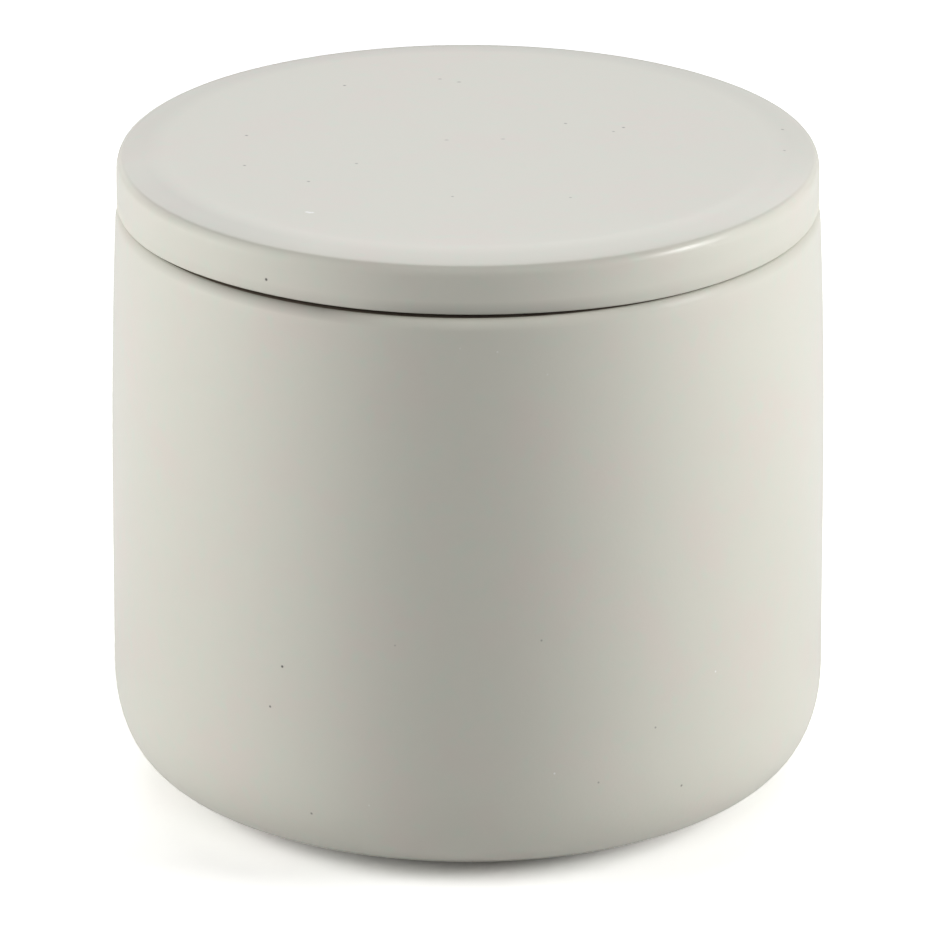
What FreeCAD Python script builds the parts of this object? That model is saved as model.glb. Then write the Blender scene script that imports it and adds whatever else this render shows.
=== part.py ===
import FreeCAD, Part
import math
import os

# A round lidded box of glazed stoneware: a pot with a softly barrelled wall, and a flat lid whose
# locating ring drops into the mouth. Both are turned about the upright axis.
# Lengths are in millimetres. Z points up, and the origin is the centre of the foot's resting face.

# Pot, outside
pot_radius = 50.0
pot_height = 84.1
rim_inset = 0.8
shoulder_drop = 42.0
rim_edge_width = 1.0
rim_edge_drop = 2.3
rim_edge_fullness_share = 0.6
base_corner_width = 15.0
base_corner_height = 15.7
base_corner_fullness_share = 0.67

# Pot, inside
wall = 5.0
floor_thickness = 6.0
mouth_round = 0.9
inner_corner_width = 12.5
inner_corner_height = 13.0
inner_corner_fullness_share = 0.65

# Foot ring, turned under the pot and left unglazed
foot_height = 1.0
foot_width = 3.6
foot_round = 0.35
foot_corner_setback = 0.8
underside_rise = 1.8
underside_cove = 1.2

# Lid plate
lid_inset = 0.25
lid_thickness = 8.3
lid_crown_width = 6.0
lid_crown_drop = 0.8
lid_crown_lean_share = 0.25
lid_crown_fullness_share = 0.5
lid_edge_width = 0.95
lid_edge_drop = 2.8
lid_edge_crown_share = 0.85
lid_edge_side_share = 0.35
lid_lower_round = 0.4

# Relief round the lid's seat, which keeps the two glazed edges apart and shows as the dark seam
relief_height = 0.5
relief_width = 2.7
relief_slope_width = 0.3

# Locating ring under the lid
ring_clearance = 1.0
ring_depth = 5.0
ring_wall = 4.4
ring_nose_round = 1.1
ring_root_round = 0.5
lid_hollow_rise = 2.0
lid_hollow_cove = 2.4

# How close a measured edge has to lie to the circle that is asked for
edge_match = 0.01

rim_radius = pot_radius - rim_inset
mouth_radius = rim_radius - wall
foot_radius = pot_radius - base_corner_width - foot_corner_setback
lid_radius = rim_radius - lid_inset
ring_radius = mouth_radius - ring_clearance

centre = FreeCAD.Vector(0, 0, 0)
upright = FreeCAD.Vector(0, 0, 1)
full_turn = 360


def point(radius, height):
    """Point of a half profile, in the plane through the axis."""
    return FreeCAD.Vector(radius, 0, height)


def straight(start, end):
    """Straight edge of a profile."""
    return Part.LineSegment(start, end).toShape()


def full_corner(start, corner, end, start_share, end_share):
    """Curve from start to end, drawn towards the corner where its two tangents meet."""
    start_pull = start + (corner - start) * start_share
    end_pull = end + (corner - end) * end_share
    curve = Part.BezierCurve()
    curve.setPoles([start, start_pull, end_pull, end])
    return curve.toShape()


def barrel(widest_radius, widest_level, top_radius, top_level):
    """Arc that leaves the widest level upright and draws in to the rim."""
    inset = widest_radius - top_radius
    rise = top_level - widest_level
    arc_radius = (inset ** 2 + rise ** 2) / (2 * inset)
    half_angle = math.asin(rise / arc_radius) / 2
    middle = point(
        widest_radius - arc_radius * (1 - math.cos(half_angle)),
        widest_level + arc_radius * math.sin(half_angle),
    )
    return Part.Arc(point(widest_radius, widest_level), middle, point(top_radius, top_level)).toShape()


def lean_share(inset, rise):
    """Radius that the barrel's arc loses per length of height where it ends."""
    return 2 * inset * rise / (rise ** 2 - inset ** 2)


def turned(edges):
    """Solid turned from a closed half profile."""
    profile = Part.Face(Part.Wire(edges))
    return profile.revolve(centre, upright, full_turn)


def circles(solid, radius, height):
    """The solid's round edges of this radius at this height."""
    found = []
    for edge in solid.Edges:
        if not isinstance(edge.Curve, Part.Circle):
            continue
        same_radius = abs(edge.Curve.Radius - radius) < edge_match
        same_height = abs(edge.Curve.Center.z - height) < edge_match
        if same_radius and same_height:
            found.append(edge)
    return found


def make_pot():
    """The pot, from the foot ring up the outside, over the rim and down the inside."""
    corner_radius = pot_radius - base_corner_width
    corner_top = foot_height + base_corner_height
    widest_level = pot_height - shoulder_drop
    rim_edge_level = pot_height - rim_edge_drop
    rim_edge_lean = rim_edge_drop * lean_share(rim_inset, rim_edge_level - widest_level)
    floor_level = underside_rise + floor_thickness
    inner_radius = pot_radius - wall
    inner_corner_top = floor_level + inner_corner_height
    inner_floor_radius = inner_radius - inner_corner_width
    foot_inner_radius = foot_radius - foot_width

    underside_centre = point(0, underside_rise)
    underside_edge = point(foot_inner_radius, underside_rise)
    foot_inner = point(foot_inner_radius, 0)
    foot_outer = point(foot_radius, 0)
    foot_top = point(foot_radius, foot_height)
    corner_start = point(corner_radius, foot_height)
    corner_end = point(pot_radius, corner_top)
    widest = point(pot_radius, widest_level)
    rim_edge_low = point(rim_radius, rim_edge_level)
    rim_edge_high = point(rim_radius - rim_edge_width, pot_height)
    rim_inner = point(mouth_radius, pot_height)
    inner_widest = point(inner_radius, widest_level)
    inner_corner_start = point(inner_radius, inner_corner_top)
    inner_corner_end = point(inner_floor_radius, floor_level)
    floor_centre = point(0, floor_level)

    pot = turned([
        straight(underside_centre, underside_edge),
        straight(underside_edge, foot_inner),
        straight(foot_inner, foot_outer),
        straight(foot_outer, foot_top),
        straight(foot_top, corner_start),
        full_corner(
            corner_start,
            point(pot_radius, foot_height),
            corner_end,
            base_corner_fullness_share,
            base_corner_fullness_share,
        ),
        straight(corner_end, widest),
        barrel(pot_radius, widest_level, rim_radius, rim_edge_level),
        full_corner(
            rim_edge_low,
            point(rim_radius - rim_edge_lean, pot_height),
            rim_edge_high,
            rim_edge_fullness_share,
            rim_edge_fullness_share,
        ),
        straight(rim_edge_high, rim_inner),
        barrel(inner_radius, widest_level, mouth_radius, pot_height),
        straight(inner_widest, inner_corner_start),
        full_corner(
            inner_corner_start,
            point(inner_radius, floor_level),
            inner_corner_end,
            inner_corner_fullness_share,
            inner_corner_fullness_share,
        ),
        straight(inner_corner_end, floor_centre),
        straight(floor_centre, underside_centre),
    ])
    pot = pot.makeFillet(mouth_round, circles(pot, mouth_radius, pot_height))
    pot = pot.makeFillet(underside_cove, circles(pot, foot_inner_radius, underside_rise))
    pot = pot.makeFillet(foot_round, circles(pot, foot_radius, 0))
    return pot.makeFillet(foot_round, circles(pot, foot_inner_radius, 0))


def make_lid():
    """The lid, from its hollow underside over the locating ring and the seat to the plate's top."""
    seat_level = pot_height
    top_level = seat_level + lid_thickness
    hollow_level = seat_level + lid_hollow_rise
    nose_level = seat_level - ring_depth
    ring_inner_radius = ring_radius - ring_wall

    hollow_centre = point(0, hollow_level)
    hollow_edge = point(ring_inner_radius, hollow_level)
    nose_inner = point(ring_inner_radius, nose_level)
    nose_outer = point(ring_radius, nose_level)
    ring_root = point(ring_radius, seat_level)
    relief_level = seat_level + relief_height
    relief_top = point(lid_radius - relief_width, relief_level)
    relief_foot = point(lid_radius - relief_width - relief_slope_width, seat_level)
    lower_edge = point(lid_radius, relief_level)
    edge_low = point(lid_radius, top_level - lid_edge_drop)
    edge_corner = point(lid_radius, top_level - lid_crown_drop - lid_edge_width * lid_crown_lean_share)
    edge_high = point(lid_radius - lid_edge_width, top_level - lid_crown_drop)
    crown_run = lid_crown_drop / lid_crown_lean_share
    crown_corner = point(lid_radius - lid_edge_width - crown_run, top_level)
    crown_start = point(lid_radius - lid_edge_width - lid_crown_width, top_level)
    top_centre = point(0, top_level)

    lid = turned([
        straight(hollow_centre, hollow_edge),
        straight(hollow_edge, nose_inner),
        straight(nose_inner, nose_outer),
        straight(nose_outer, ring_root),
        straight(ring_root, relief_foot),
        straight(relief_foot, relief_top),
        straight(relief_top, lower_edge),
        straight(lower_edge, edge_low),
        full_corner(edge_low, edge_corner, edge_high, lid_edge_side_share, lid_edge_crown_share),
        full_corner(
            edge_high,
            crown_corner,
            crown_start,
            lid_crown_fullness_share,
            lid_crown_fullness_share,
        ),
        straight(crown_start, top_centre),
        straight(top_centre, hollow_centre),
    ])
    lid = lid.makeFillet(lid_lower_round, circles(lid, lid_radius, relief_level))
    lid = lid.makeFillet(ring_root_round, circles(lid, ring_radius, seat_level))
    lid = lid.makeFillet(ring_nose_round, circles(lid, ring_radius, nose_level))
    lid = lid.makeFillet(ring_nose_round, circles(lid, ring_inner_radius, nose_level))
    return lid.makeFillet(lid_hollow_cove, circles(lid, ring_inner_radius, hollow_level))


os.makedirs("parts", exist_ok=True)
for name, solid in {"pot": make_pot(), "lid": make_lid()}.items():
    solid.exportStep("parts/" + name + ".step")
    print(name, "volume", round(solid.Volume, 1), "valid", solid.isValid(), "solids", len(solid.Solids))
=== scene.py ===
import math

import bmesh
import bpy
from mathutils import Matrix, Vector, geometry, noise
from mathutils.bvhtree import BVHTree


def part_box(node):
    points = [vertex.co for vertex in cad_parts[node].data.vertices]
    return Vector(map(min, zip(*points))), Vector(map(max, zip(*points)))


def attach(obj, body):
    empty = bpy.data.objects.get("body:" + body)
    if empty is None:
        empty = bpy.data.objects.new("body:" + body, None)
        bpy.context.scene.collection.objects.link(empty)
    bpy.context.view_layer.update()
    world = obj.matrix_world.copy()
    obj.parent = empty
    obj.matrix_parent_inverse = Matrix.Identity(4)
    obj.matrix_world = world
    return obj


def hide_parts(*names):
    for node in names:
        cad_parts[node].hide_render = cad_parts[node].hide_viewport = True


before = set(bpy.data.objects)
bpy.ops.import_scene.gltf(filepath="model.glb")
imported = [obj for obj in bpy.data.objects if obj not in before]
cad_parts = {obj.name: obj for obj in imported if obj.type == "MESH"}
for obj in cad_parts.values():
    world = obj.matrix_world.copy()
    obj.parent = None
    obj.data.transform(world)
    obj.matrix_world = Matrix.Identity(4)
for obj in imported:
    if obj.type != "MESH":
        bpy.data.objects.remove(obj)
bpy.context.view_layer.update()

# A round glazed stoneware box: a softly barrelled pot and a flat lid with a locating ring under it.
# Lengths are in metres; mm turns a length in millimetres into one.
mm = 0.001

# Sizes that the frame gives
pot_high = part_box("pot")[1]
lid_low, lid_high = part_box("lid")
pot_radius = pot_high.x
seat_level = pot_high.z
lid_radius = lid_high.x
lid_top = lid_high.z
ring_nose_level = lid_low.z

# Pot, outside
rim_inset = 0.8 * mm
shoulder_drop = 42.0 * mm
rim_edge_width = 1.0 * mm
rim_edge_drop = 2.3 * mm
rim_edge_fullness_share = 0.6
base_corner_width = 15.0 * mm
base_corner_height = 15.7 * mm
base_corner_fullness_share = 0.67

# Pot, inside
wall = 5.0 * mm
floor_thickness = 6.0 * mm
mouth_round = 0.9 * mm
inner_corner_width = 12.5 * mm
inner_corner_height = 13.0 * mm
inner_corner_fullness_share = 0.65

# Foot ring
foot_height = 1.0 * mm
foot_width = 3.6 * mm
foot_round = 0.35 * mm
foot_corner_setback = 0.8 * mm
underside_rise = 1.8 * mm
underside_cove = 1.2 * mm

# Lid
lid_crown_width = 6.0 * mm
lid_crown_drop = 0.8 * mm
lid_crown_lean_share = 0.25
lid_crown_fullness_share = 0.5
lid_edge_width = 0.95 * mm
lid_edge_drop = 2.8 * mm
lid_edge_crown_share = 0.85
lid_edge_side_share = 0.35
lid_lower_round = 0.4 * mm
relief_height = 0.5 * mm
relief_width = 2.7 * mm
relief_slope_width = 0.3 * mm
ring_clearance = 1.0 * mm
ring_wall = 4.4 * mm
ring_nose_round = 1.1 * mm
ring_root_round = 0.5 * mm
lid_hollow_rise = 2.0 * mm
lid_hollow_cove = 2.4 * mm

# How finely the pieces are turned
turn_steps = 288
curve_points = 18
round_steps = 6
barrel_steps = 12
longest_run = 2.5 * mm
merge_distance = 0.001 * mm

# What the hand and the kiln leave: walls that are not quite true, and a lid edge that slumps a little.
# The patterns are places in Blender's noise, one for each wander.
wall_wobble = 0.10 * mm
wall_wobble_length = 45.0 * mm
pot_wobble_pattern = 3.0
lid_wobble_pattern = 11.0
lid_edge_slump = 0.12 * mm
lid_edge_slump_length = 22.0 * mm
lid_edge_slump_pattern = 7.0
lid_edge_slump_gather = 4

# The outer lip of the lid's relief hangs low, except at the front left, where the seam opens
lower_edge_hang = 0.32 * mm
seam_opening = 0.50 * mm
seam_opening_bearing = math.radians(-17.0)
seam_opening_spread = math.radians(40.0)
seam_opening_squareness = 4

# The bare clay of the seat runs on this far into the mouth and round the ring's nose, and stops this
# far short of the lid's edge
wiped_band = 0.5 * mm

# Beside the seam and on the lid's edge the glaze colour is painted darker (below 0) or paler (above 0):
# painted shade under the lid's overhang, at the seam and on edge slopes turned from the light, and painted
# light on the pot's rim at the front. Where that changes round the front, it is given as (bearing in degrees,
# tone).
# Pot below the seam: painted shade at the sides under the lid's overhang, and painted light on the rim at the
# front.
pot_seam_painted_reach = 1.6 * mm
pot_seam_painted_light_and_shade = (
    (-90, -0.10), (-60, -0.24), (-44, -0.44), (-24, -0.52), (-13, 0.0),
    (0, 0.24), (14, 0.14), (22, 0.0), (30, -0.15), (90, -0.15),
)
# Lid above the seam: painted shade on its lower edge, darkest at the front.
lid_seam_painted_reach = 2.0 * mm
lid_seam_painted_shade = (
    (-90, 0.0), (-45, -0.05), (-28, -0.16), (-18, -0.13), (-8, -0.36),
    (14, -0.34), (24, -0.18), (40, -0.10), (90, 0.0),
)
# Painted shade on the lid's edge at the left front, where the rounding faces away from the light, and on the
# crown all round where it starts to tilt down.
lid_edge_painted_shade = ((-82, 0.0), (-68, -0.12), (-58, -0.15), (-44, -0.12), (-26, 0.0), (90, 0.0))
lid_edge_painted_shade_drop = 2.2 * mm
lid_edge_painted_shade_run = 0.8 * mm
crown_painted_shade = -0.065
crown_painted_shade_run = 3.0 * mm

# The camera, which stands where the photograph was taken from. The shift of its aim puts the box
# where the photograph's frame has it.
camera_elevation = math.radians(20.35)
camera_distance = 1.5
camera_lens = 408.7
sensor_width = 36.0
view_depth = 15.0
photo_width = 940
aim_right = 0.29 * mm
aim_drop = 1.85 * mm
camera_aim = Vector((aim_right, 0, lid_top / 2 - aim_drop))
camera_back = Vector((0, -math.cos(camera_elevation), math.sin(camera_elevation)))
camera_up = Vector((0, math.sin(camera_elevation), math.cos(camera_elevation)))
camera_right = Vector((1, 0, 0))
camera_place = camera_aim + camera_back * camera_distance

# What the sizes above give
rim_radius = pot_radius - rim_inset
mouth_radius = rim_radius - wall
inner_radius = pot_radius - wall
foot_radius = pot_radius - base_corner_width - foot_corner_setback
floor_level = underside_rise + floor_thickness
widest_level = seat_level - shoulder_drop
ring_radius = mouth_radius - ring_clearance


def full_corner(start, corner, end, start_share, end_share):
    """Outline points along the curve from start to end, drawn towards the corner of its tangents."""
    start, corner, end = Vector(start), Vector(corner), Vector(end)
    start_pull = start.lerp(corner, start_share)
    end_pull = end.lerp(corner, end_share)
    curve = geometry.interpolate_bezier(start, start_pull, end_pull, end, curve_points)
    return [(point.x, point.y, 0) for point in curve]


def barrel(widest_radius, top_level):
    """Outline points up a wall that draws in from its widest level towards the rim."""
    points = []
    for step in range(barrel_steps):
        share = step / barrel_steps
        height = widest_level + (top_level - widest_level) * share
        points.append((widest_radius - rim_inset * share ** 2, height, 0))
    return points


def turned(name, outline):
    """A piece turned from an outline of (radius, height, rounding) points."""
    shape = bmesh.new()
    points = [shape.verts.new((radius, 0, height)) for radius, height, _ in outline]
    for start, end in zip(points, points[1:]):
        shape.edges.new((start, end))
    for point, (_, _, rounding) in zip(points, outline):
        if rounding:
            bmesh.ops.bevel(shape, geom=[point], offset=rounding, offset_type="OFFSET", segments=round_steps,
                            profile=0.5, affect="VERTICES", material=-1)
    for edge in list(shape.edges):
        cuts = int(edge.calc_length() / longest_run)
        if cuts:
            bmesh.ops.subdivide_edges(shape, edges=[edge], cuts=cuts)
    bmesh.ops.spin(shape, geom=shape.verts[:] + shape.edges[:], cent=(0, 0, 0), axis=(0, 0, 1),
                   angle=math.tau, steps=turn_steps, use_merge=True)
    bmesh.ops.remove_doubles(shape, verts=shape.verts, dist=merge_distance)
    bmesh.ops.recalc_face_normals(shape, faces=shape.faces)
    for face in shape.faces:
        face.smooth = True
    mesh = bpy.data.meshes.new(name)
    shape.to_mesh(mesh)
    shape.free()
    piece = bpy.data.objects.new(name, mesh)
    bpy.context.scene.collection.objects.link(piece)
    return piece


def bearing(point):
    """Angle round the axis from the front, positive to the right."""
    return math.atan2(point.x, -point.y)


def dip(point, length, pattern):
    """A slow random dip, from 0 to 1 over the surface."""
    return 0.5 + 0.5 * noise.noise(point / length + Vector((pattern, pattern, pattern)))


def draw_in(point, distance):
    """Moves a point straight towards the axis."""
    radius = math.hypot(point.x, point.y)
    if radius > distance:
        point.x -= point.x / radius * distance
        point.y -= point.y / radius * distance


def mark(piece, name, share):
    """Writes on every point of a piece what the rule gives for it: yes or no, or a share."""
    marks = piece.data.attributes.new(name, "FLOAT", "POINT")
    for vertex, value in zip(piece.data.vertices, marks.data):
        value.value = float(share(vertex))


def tone_at(vertex, tones):
    """The tone at a point's bearing, drawn straight between the bearings that are named."""
    turn = min(max(math.degrees(bearing(vertex.co)), tones[0][0]), tones[-1][0])
    for (low, low_tone), (high, high_tone) in zip(tones, tones[1:]):
        if turn <= high:
            return low_tone + (high_tone - low_tone) * (turn - low) / (high - low)


def share_between(value, start, run):
    """0 up to the start, 1 a run past it, and an even rise between."""
    return min(1.0, max(0.0, (value - start) / run))


def off_axis(vertex):
    """How far a vertex stands from the axis."""
    return math.hypot(vertex.co.x, vertex.co.y)


def faces_camera(vertex):
    """Whether the surface at a vertex is turned towards the camera."""
    return vertex.normal.dot(camera_back) > 0


def make_pot():
    """The pot, turned and drawn in a little out of true, with its clay marks and its marks of painted light
    and shade beside the seam.
    """
    corner_radius = pot_radius - base_corner_width
    corner_top = foot_height + base_corner_height
    foot_inner_radius = foot_radius - foot_width
    inner_corner_top = floor_level + inner_corner_height
    outside = full_corner((corner_radius, foot_height), (pot_radius, foot_height), (pot_radius, corner_top),
                          base_corner_fullness_share, base_corner_fullness_share)
    rim_edge_level = seat_level - rim_edge_drop
    rim_edge_lean = 2 * rim_inset / (rim_edge_level - widest_level) * rim_edge_drop
    rim_edge = full_corner((rim_radius, rim_edge_level), (rim_radius - rim_edge_lean, seat_level),
                           (rim_radius - rim_edge_width, seat_level), rim_edge_fullness_share,
                           rim_edge_fullness_share)
    inside = full_corner((inner_radius, inner_corner_top), (inner_radius, floor_level),
                         (inner_radius - inner_corner_width, floor_level),
                         inner_corner_fullness_share, inner_corner_fullness_share)
    pot = turned("stoneware_pot", [
        (0, underside_rise, 0),
        (foot_inner_radius, underside_rise, underside_cove),
        (foot_inner_radius, 0, foot_round),
        (foot_radius, 0, foot_round),
        (foot_radius, foot_height, 0),
        *outside,
        *barrel(pot_radius, rim_edge_level),
        *rim_edge,
        (mouth_radius, seat_level, mouth_round),
        *reversed(barrel(inner_radius, seat_level)),
        *inside,
        (0, floor_level, 0),
    ])
    for vertex in pot.data.vertices:
        draw_in(vertex.co, wall_wobble * dip(vertex.co, wall_wobble_length, pot_wobble_pattern))
    seat_outer_radius = rim_radius - rim_edge_width
    mark(pot, "bare_clay", lambda vertex: (vertex.co.z < foot_height and off_axis(vertex) > foot_inner_radius)
         or (vertex.co.z > seat_level - wiped_band and off_axis(vertex) < seat_outer_radius))
    # Painted shade and painted light beside the seam, by bearing.
    mark(pot, "seam_painted_light_and_shade", lambda vertex: off_axis(vertex) > seat_outer_radius - wall_wobble
         and tone_at(vertex, pot_seam_painted_light_and_shade))
    mark(pot, "in_photo", lambda vertex: faces_camera(vertex)
         and (off_axis(vertex) > inner_radius or vertex.co.z < floor_level))
    return pot


def make_lid():
    """The lid, turned, then slumped at its edge and bent at its lower lip, with its clay marks and its
    painted shade marks.
    """
    ring_inner_radius = ring_radius - ring_wall
    hollow_level = seat_level + lid_hollow_rise
    relief_level = seat_level + relief_height
    relief_radius = lid_radius - relief_width
    edge_high_radius = lid_radius - lid_edge_width
    edge_high_level = lid_top - lid_crown_drop
    edge_low_level = lid_top - lid_edge_drop
    crown_radius = edge_high_radius - lid_crown_width
    edge = full_corner((lid_radius, edge_low_level),
                       (lid_radius, edge_high_level - lid_edge_width * lid_crown_lean_share),
                       (edge_high_radius, edge_high_level), lid_edge_side_share, lid_edge_crown_share)
    crown = full_corner((edge_high_radius, edge_high_level),
                        (edge_high_radius - lid_crown_drop / lid_crown_lean_share, lid_top),
                        (crown_radius, lid_top), lid_crown_fullness_share, lid_crown_fullness_share)
    lid = turned("stoneware_lid", [
        (0, hollow_level, 0),
        (ring_inner_radius, hollow_level, lid_hollow_cove),
        (ring_inner_radius, ring_nose_level, ring_nose_round),
        (ring_radius, ring_nose_level, ring_nose_round),
        (ring_radius, seat_level, ring_root_round),
        (relief_radius - relief_slope_width, seat_level, 0),
        (relief_radius, relief_level, 0),
        (lid_radius, relief_level, lid_lower_round),
        *edge,
        *crown[1:],
        (0, lid_top, 0),
    ])
    for vertex in lid.data.vertices:
        point = vertex.co
        radius = off_axis(vertex)
        height_share = share_between(point.z, seat_level, lid_top - seat_level)
        edge_share = (radius / lid_radius) ** lid_edge_slump_gather
        relief_share = max(0.0, (radius - relief_radius) / relief_width) * (1 - height_share)
        turn = (bearing(point) - seam_opening_bearing) / seam_opening_spread
        lip_rise = seam_opening * math.exp(-turn ** seam_opening_squareness) - lower_edge_hang
        slump = lid_edge_slump * dip(point, lid_edge_slump_length, lid_edge_slump_pattern)
        draw_in(point, wall_wobble * dip(point, wall_wobble_length, lid_wobble_pattern))
        point.z += lip_rise * relief_share - slump * edge_share * height_share

    def edge_and_crown_painted_shade(vertex):
        """Painted shade on the crown, which fades out over the edge, and on the edge at the left, where the
        slopes get less light.
        """
        radius, height = off_axis(vertex), vertex.co.z
        on_crown = share_between(radius, crown_radius, crown_painted_shade_run)
        off_edge = share_between(lid_radius - wall_wobble - radius, 0.0, lid_edge_width)
        above_side = share_between(height, lid_top - lid_edge_painted_shade_drop, lid_edge_painted_shade_run)
        all_round = crown_painted_shade * on_crown * off_edge * (height > edge_low_level)
        return all_round + tone_at(vertex, lid_edge_painted_shade) * on_crown * above_side

    mark(lid, "bare_clay", lambda vertex: vertex.co.z < relief_level + wiped_band
         and ring_radius - wiped_band < off_axis(vertex) < lid_radius - wiped_band)
    # Painted shade on the lid's lower edge, by bearing.
    mark(lid, "seam_painted_light_and_shade", lambda vertex: off_axis(vertex) > lid_radius - lid_lower_round - wall_wobble
         and tone_at(vertex, lid_seam_painted_shade))
    mark(lid, "crown_painted_shade", edge_and_crown_painted_shade)
    mark(lid, "in_photo", lambda vertex: faces_camera(vertex) and vertex.co.z > relief_level)
    return lid


# Specks that the photograph shows, by the pixel of its frame: (across, down, width in mm, how plain)
pot_pinholes = (
    (281.7, 666.0, 0.50, 1.00), (269.6, 706.0, 0.46, 0.80), (311.0, 813.0, 0.46, 0.70),
    (681.0, 785.0, 0.46, 0.70), (655.0, 727.0, 0.40, 0.50), (598.0, 782.0, 0.40, 0.45),
    (541.0, 640.0, 0.40, 0.45), (394.5, 645.0, 0.34, 0.30),
)
lid_pinholes = (
    (265.7, 279.0, 0.56, 1.00), (344.0, 85.0, 0.60, 0.70), (246.0, 135.0, 0.60, 0.70),
    (244.0, 165.0, 0.60, 0.60), (356.0, 163.0, 0.60, 0.50), (308.0, 181.0, 0.60, 0.60),
    (452.0, 196.0, 0.54, 0.50), (565.0, 123.0, 0.60, 0.60), (623.0, 127.0, 0.60, 0.70),
    (613.0, 131.0, 0.54, 0.50), (782.0, 129.0, 0.60, 0.60), (784.0, 150.0, 0.54, 0.50),
    (570.0, 197.0, 0.54, 0.45), (439.5, 78.5, 0.70, 0.35), (458.5, 81.5, 0.80, 0.35),
    (446.0, 139.5, 0.80, 0.25), (502.5, 138.5, 0.80, 0.25),
)
pot_bright_specks = (
    (554.0, 773.0, 0.40, 0.80), (715.0, 671.0, 0.40, 0.80), (368.6, 805.0, 0.36, 0.40),
    (459.5, 348.0, 0.36, 0.35), (497.0, 351.5, 0.36, 0.50), (547.0, 374.0, 0.36, 0.35),
)
# On the lid top, three overlapping bright dots make one short painted glint along a small scratch.
lid_painted_glint = ((306.5, 211.5, 0.80, 0.90), (309.0, 212.0, 0.90, 1.00), (311.5, 212.0, 0.80, 0.90))


def under_pixel(surface, across, down):
    """The point of a surface that the photograph shows at a pixel of its frame."""
    step = sensor_width / camera_lens / photo_width
    right = (across + 0.5 - photo_width / 2) * step
    low = (down + 0.5 - photo_width / 2) * step
    return surface.ray_cast(camera_place, camera_right * right - camera_up * low - camera_back)[0]


def placed_specks(piece, seen):
    """The specks that are seen on a piece, each as its point on the surface, its radius and its strength."""
    points = [vertex.co for vertex in piece.data.vertices]
    surface = BVHTree.FromPolygons(points, [face.vertices[:] for face in piece.data.polygons])
    return [(under_pixel(surface, across, down), width / 2 * mm, strength)
            for across, down, width, strength in seen]


# Colours of the glaze, the bare clay, the iron specks and pinholes, and the bright specks and painted glint
glaze_colour = (0.690, 0.679, 0.598, 1)
glaze_warm = (0.706, 0.664, 0.594, 1)
glaze_cool = (0.666, 0.688, 0.600, 1)
# The bare clay is made very dark, partly its own colour and partly painted shade, so that the seam reads
# dark.
clay_and_seam_shade_colour = (0.14, 0.112, 0.086, 1)
pinhole_colour = (0.09, 0.085, 0.07, 1)
# White of the bright specks, and of the lid's painted glint.
bright_speck_and_glint_colour = (0.93, 0.93, 0.91, 1)

# How the glaze's colour drifts: warm clouds and cool mottling, with the levels of the noise at which
# each starts and is full
cloud_size = 11.0 * mm
cloud_detail = 2.0
cloud_start = 0.47
cloud_full = 0.68
mottle_size = 2.2 * mm
mottle_detail = 3.0
mottle_start = 0.52
mottle_full = 0.75

# Pinholes that the photograph doesn't show, and the share of a speck that is plain to its full strength
pinhole_spacing = 5.0 * mm
pinhole_radius = 0.13 * mm
speck_core_share = 0.4

# The satin finish of the glaze, with a peel like an orange's, and the grain of the bare clay
peel_size = 0.6 * mm
peel_detail = 1.0
peel_height = 0.010 * mm
glaze_roughness_least = 0.30
glaze_roughness_most = 0.36
thin_glaze_dryness = 0.2
glaze_refraction = 1.5
coat_weight = 0.4
coat_roughness = 0.25
grain_size = 0.35 * mm
grain_detail = 4.0
grain_height = 0.05 * mm
clay_roughness = 0.92


def add(tree, kind, values=None, **settings):
    """A node with its settings, and the values or links of its inputs."""
    node = tree.nodes.new("ShaderNode" + kind)
    for name, value in settings.items():
        setattr(node, name, value)
    for name, value in (values or {}).items():
        if isinstance(value, bpy.types.NodeSocket):
            tree.links.new(value, node.inputs[name])
        else:
            node.inputs[name].default_value = value
    return node


def calculated(tree, operation, *values):
    """One sum, product or other calculation."""
    return add(tree, "Math", dict(enumerate(values)), operation=operation).outputs[0]


def ramp(tree, value, start, end, low=0.0, high=1.0):
    """An even change from low to high while a value goes from start to end."""
    return add(tree, "MapRange", {"Value": value, "From Min": start, "From Max": end,
                                  "To Min": low, "To Max": high}).outputs["Result"]


def mixed(tree, share, colour, other_colour):
    """A colour with a share of another one over it."""
    return add(tree, "MixRGB", {0: share, 1: colour, 2: other_colour}).outputs[0]


def place_of(tree):
    """The point of the piece that is being coloured."""
    return add(tree, "TexCoord").outputs["Object"]


def lumps(tree, place, scale, detail):
    """Blender's noise, at this many lumps to the metre."""
    return add(tree, "TexNoise", {"Vector": place, "Scale": scale, "Detail": detail}).outputs["Fac"]


def marked(tree, name):
    """What a piece's mark says at each point."""
    return add(tree, "Attribute", attribute_name=name).outputs["Fac"]


def new_group(name, inputs, output):
    """An empty node group with these inputs and one output, what enters it, and its result."""
    group = bpy.data.node_groups.new(name, "ShaderNodeTree")
    for socket_name, kind in inputs.items():
        group.interface.new_socket(name=socket_name, in_out="INPUT", socket_type="NodeSocket" + kind)
    output_name, kind = output
    group.interface.new_socket(name=output_name, in_out="OUTPUT", socket_type="NodeSocket" + kind)
    entry = group.nodes.new("NodeGroupInput").outputs
    result = group.nodes.new("NodeGroupOutput").inputs[output_name]
    return group, entry, result


def place_group(tree, group, **values):
    """What a group gives for these values of its inputs."""
    node = tree.nodes.new("ShaderNodeGroup")
    node.node_tree = group
    for name, value in values.items():
        node.inputs[name.replace("_", " ")].default_value = value
    return node.outputs[0]


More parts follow.
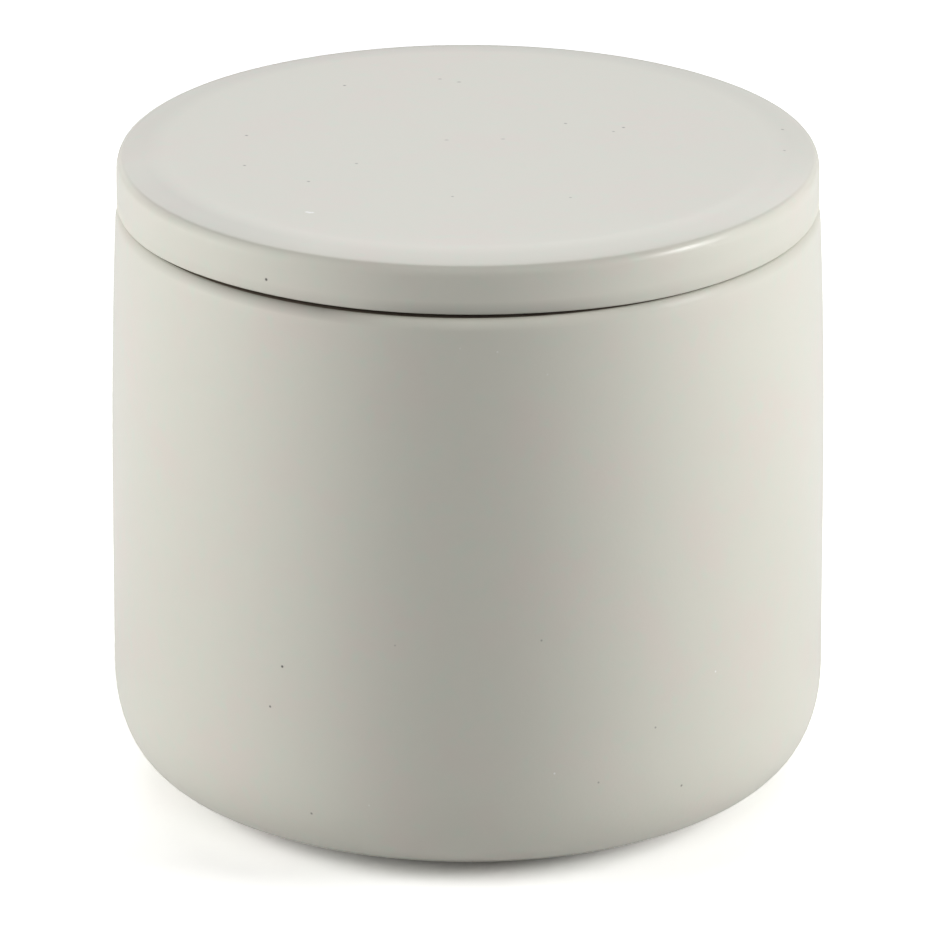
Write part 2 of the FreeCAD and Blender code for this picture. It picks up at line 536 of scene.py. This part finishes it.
def make_tone_group():
    """Slow drifts of tone in a glaze: warm clouds, and fine cool mottling."""
    colours = {"Base": "Color", "Warm": "Color", "Cool": "Color"}
    sockets = {**colours, "Cloud Size": "Float", "Mottle Size": "Float"}
    group, entry, result = new_group("glaze_tone", sockets, ("Color", "Color"))
    place = place_of(group)
    cloud_scale = calculated(group, "DIVIDE", 1.0, entry["Cloud Size"])
    mottle_scale = calculated(group, "DIVIDE", 1.0, entry["Mottle Size"])
    cloud = lumps(group, place, cloud_scale, cloud_detail)
    mottle = lumps(group, place, mottle_scale, mottle_detail)
    warmed = mixed(group, ramp(group, cloud, cloud_start, cloud_full), entry["Base"], entry["Warm"])
    cooled = mixed(group, ramp(group, mottle, mottle_start, mottle_full), warmed, entry["Cool"])
    group.links.new(cooled, result)
    return group


def make_pinhole_group():
    """Sparse pinholes: where a point of a coarse scatter lies in the surface, a dot shows."""
    sockets = {"Spacing": "Float", "Radius": "Float"}
    group, entry, result = new_group("pinholes", sockets, ("Mask", "Float"))
    scale = calculated(group, "DIVIDE", 1.0, entry["Spacing"])
    scatter = add(group, "TexVoronoi", {"Vector": place_of(group), "Scale": scale}).outputs["Distance"]
    reach = calculated(group, "MULTIPLY", entry["Radius"], scale)
    group.links.new(ramp(group, scatter, reach, 0.0), result)
    return group


def make_speck_group():
    """One round speck at a given place: its strength at its core, and 0 past its radius."""
    sockets = {"Middle": "Vector", "Radius": "Float", "Strength": "Float"}
    group, entry, result = new_group("speck", sockets, ("Mask", "Float"))
    away = add(group, "VectorMath", {0: place_of(group), 1: entry["Middle"]}, operation="DISTANCE")
    core = calculated(group, "MULTIPLY", entry["Radius"], speck_core_share)
    mask = ramp(group, away.outputs["Value"], entry["Radius"], core, high=entry["Strength"])
    group.links.new(mask, result)
    return group


def all_specks(tree, speck_group, specks):
    """The mask of all of a piece's placed specks."""
    mask = 0.0
    for middle, radius, strength in specks:
        speck = place_group(tree, speck_group, Middle=middle, Radius=radius, Strength=strength)
        mask = calculated(tree, "MAXIMUM", speck, mask)
    return mask


def specked_glaze(tree, groups, dark_specks, bright_specks):
    """The colour of the glaze with its drifts, pinholes and specks, and the painted glint among the bright
    specks.
    """
    tone_group, pinhole_group, speck_group = groups
    tone = place_group(tree, tone_group, Base=glaze_colour, Warm=glaze_warm, Cool=glaze_cool,
                       Cloud_Size=cloud_size, Mottle_Size=mottle_size)
    pinholes = place_group(tree, pinhole_group, Spacing=pinhole_spacing, Radius=pinhole_radius)
    out_of_photo = calculated(tree, "SUBTRACT", 1.0, marked(tree, "in_photo"))
    scattered = calculated(tree, "MULTIPLY", pinholes, out_of_photo)
    dark = calculated(tree, "MAXIMUM", scattered, all_specks(tree, speck_group, dark_specks))
    pitted = mixed(tree, dark, tone, pinhole_colour)
    return mixed(tree, all_specks(tree, speck_group, bright_specks), pitted, bright_speck_and_glint_colour)


def glazed_stoneware(name, groups, dark_specks, bright_specks, edge_level, reach):
    """Satin glaze over stoneware, with bare clay where the piece's bare_clay mark says.

    Over the reach that starts at the edge's level beside the seam, the glaze takes the seam marks' painted
    light and shade, and is rougher, with less coat.
    """
    material = bpy.data.materials.new(name)
    material.use_nodes = True
    tree = material.node_tree
    tree.nodes.clear()
    place = place_of(tree)
    bare = marked(tree, "bare_clay")
    peel = lumps(tree, place, 1 / peel_size, peel_detail)
    grain = lumps(tree, place, 1 / grain_size, grain_detail)
    level = add(tree, "SeparateXYZ", {"Vector": place}).outputs["Z"]
    near_seam = ramp(tree, level, edge_level + reach, edge_level)

    glaze = specked_glaze(tree, groups, dark_specks, bright_specks)
    # Painted shade and light: the crown and seam marks scale the glaze colour, darker below 1 and paler above
    # 1.
    crown_shade = calculated(tree, "ADD", 1.0, marked(tree, "crown_painted_shade"))
    shade = calculated(tree, "MULTIPLY_ADD", near_seam, marked(tree, "seam_painted_light_and_shade"), crown_shade)
    toned = add(tree, "VectorMath", {0: glaze, "Scale": shade}, operation="SCALE").outputs[0]
    colour = mixed(tree, bare, toned, clay_and_seam_shade_colour)

    satin = ramp(tree, peel, 0.0, 1.0, glaze_roughness_least, glaze_roughness_most)
    glaze_roughness = calculated(tree, "MULTIPLY_ADD", near_seam, thin_glaze_dryness, satin)
    roughness = add(tree, "Mix", {0: bare, 2: glaze_roughness, 3: clay_roughness}).outputs[0]
    coat = ramp(tree, near_seam, 0.0, 1.0, coat_weight, 0.0)
    peel_bump = add(tree, "Bump", {"Height": peel, "Distance": peel_height, "Strength": 1.0}).outputs[0]
    clay_grain = calculated(tree, "MULTIPLY", grain, bare)
    bump = add(tree, "Bump", {"Height": clay_grain, "Distance": grain_height, "Strength": 1.0,
                              "Normal": peel_bump}).outputs[0]

    shader = add(tree, "BsdfPrincipled", {"Base Color": colour, "Roughness": roughness, "Normal": bump,
                                          "IOR": glaze_refraction, "Coat Weight": coat,
                                          "Coat Roughness": coat_roughness}).outputs[0]
    output = add(tree, "OutputMaterial")
    tree.links.new(shader, output.inputs["Surface"])
    return material


# The floor: its colour as it lights the box, as the box mirrors it, and as the camera sees it
floor_half_size = 3.0
floor_colour = (0.72, 0.72, 0.72, 1)
floor_mirrored_colour = (1.0, 1.0, 1.0, 1)
floor_seen_colour = (1.75, 1.75, 1.75, 1)

# The surroundings are white where they are seen or mirrored, and give no light of their own
ambient_strength = 0.0
surroundings_strength = 1.0

# Each lamp: place, width and height in metres, how bright its face is, and whether the glaze mirrors it
lamps = {
    "left_softbox": ((-1.0, 0.0, 0.30), 0.45, 0.8, 6.3, False),
    "left_fill": ((-0.94, -0.34, 0.30), 0.45, 0.8, 2.7, False),
    "right_softbox": ((1.0, 0.0, 0.30), 0.45, 0.8, 6.95, False),
    "back_softbox": ((0.0, 0.8, 0.9), 1.0, 1.0, 1.32, True),
    "front_softbox": ((0.0, -0.9, 0.9), 1.0, 1.0, 0.60, True),
    "key_lamp": ((0.895, -0.270, 0.345), 0.22, 0.24, 14.5, True),
}


def ways_of_seeing(tree):
    """Two masks: where the camera sees the stage, and where it is mirrored or seen through glass."""
    path = add(tree, "LightPath").outputs
    mirrored = calculated(tree, "MAXIMUM", path["Is Glossy Ray"], path["Is Transmission Ray"])
    return path["Is Camera Ray"], mirrored


def make_floor():
    """A wide level floor at the foot of the pot."""
    shape = bmesh.new()
    bmesh.ops.create_grid(shape, x_segments=1, y_segments=1, size=floor_half_size)
    mesh = bpy.data.meshes.new("floor")
    shape.to_mesh(mesh)
    shape.free()
    floor = bpy.data.objects.new("floor", mesh)
    bpy.context.scene.collection.objects.link(floor)
    material = bpy.data.materials.new("pale_floor")
    material.use_nodes = True
    tree = material.node_tree
    tree.nodes.clear()
    seen, mirrored = ways_of_seeing(tree)
    unseen_colour = mixed(tree, mirrored, floor_colour, floor_mirrored_colour)
    colour = mixed(tree, seen, unseen_colour, floor_seen_colour)
    shader = add(tree, "BsdfDiffuse", {"Color": colour}).outputs[0]
    output = add(tree, "OutputMaterial")
    tree.links.new(shader, output.inputs["Surface"])
    mesh.materials.append(material)


def make_world():
    """White surroundings."""
    world = bpy.data.worlds.new("studio")
    bpy.context.scene.world = world
    world.use_nodes = True
    tree = world.node_tree
    tree.nodes.clear()
    seen, mirrored = ways_of_seeing(tree)
    shown = calculated(tree, "MAXIMUM", seen, mirrored)
    strength = add(tree, "Mix", {0: shown, 2: ambient_strength, 3: surroundings_strength}).outputs[0]
    background = add(tree, "Background", {"Color": (1, 1, 1, 1), "Strength": strength}).outputs[0]
    output = add(tree, "OutputWorld")
    tree.links.new(background, output.inputs["Surface"])


def make_lamp(name, place, width, height, brightness, is_mirrored):
    """A softbox that faces the box, as bright over its face as the number says."""
    data = bpy.data.lights.new(name, "AREA")
    data.shape = "RECTANGLE"
    data.size = width
    data.size_y = height
    data.energy = brightness * math.pi * width * height
    lamp = bpy.data.objects.new(name, data)
    lamp.location = place
    lamp.visible_glossy = is_mirrored
    target = Vector((0, 0, lid_top / 2))
    lamp.rotation_euler = (target - lamp.location).to_track_quat("-Z", "Y").to_euler()
    bpy.context.scene.collection.objects.link(lamp)


def make_camera():
    """The camera, where the photograph was taken from."""
    data = bpy.data.cameras.new("camera")
    data.lens = camera_lens
    data.sensor_width = sensor_width
    data.clip_end = view_depth
    camera = bpy.data.objects.new("camera", data)
    camera.location = camera_place
    camera.rotation_euler = (-camera_back).to_track_quat("-Z", "Y").to_euler()
    bpy.context.scene.collection.objects.link(camera)
    bpy.context.scene.camera = camera


bpy.context.scene.view_settings.view_transform = "Standard"
groups = make_tone_group(), make_pinhole_group(), make_speck_group()
lid_edge_level = seat_level + relief_height
for piece, body, slot, pinholes, bright_specks, edge_level, reach in (
    (make_pot(), "pot", "pot_glaze", pot_pinholes, pot_bright_specks, seat_level, -pot_seam_painted_reach),
    (make_lid(), "lid", "lid_glaze", lid_pinholes, lid_painted_glint, lid_edge_level, lid_seam_painted_reach),
):
    dark_places = placed_specks(piece, pinholes)
    bright_places = placed_specks(piece, bright_specks)
    glaze = glazed_stoneware(slot, groups, dark_places, bright_places, edge_level, reach)
    piece.data.materials.append(glaze)
    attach(piece, body)
    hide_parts(body)
make_floor()
make_world()
for name, values in lamps.items():
    make_lamp(name, *values)
make_camera()
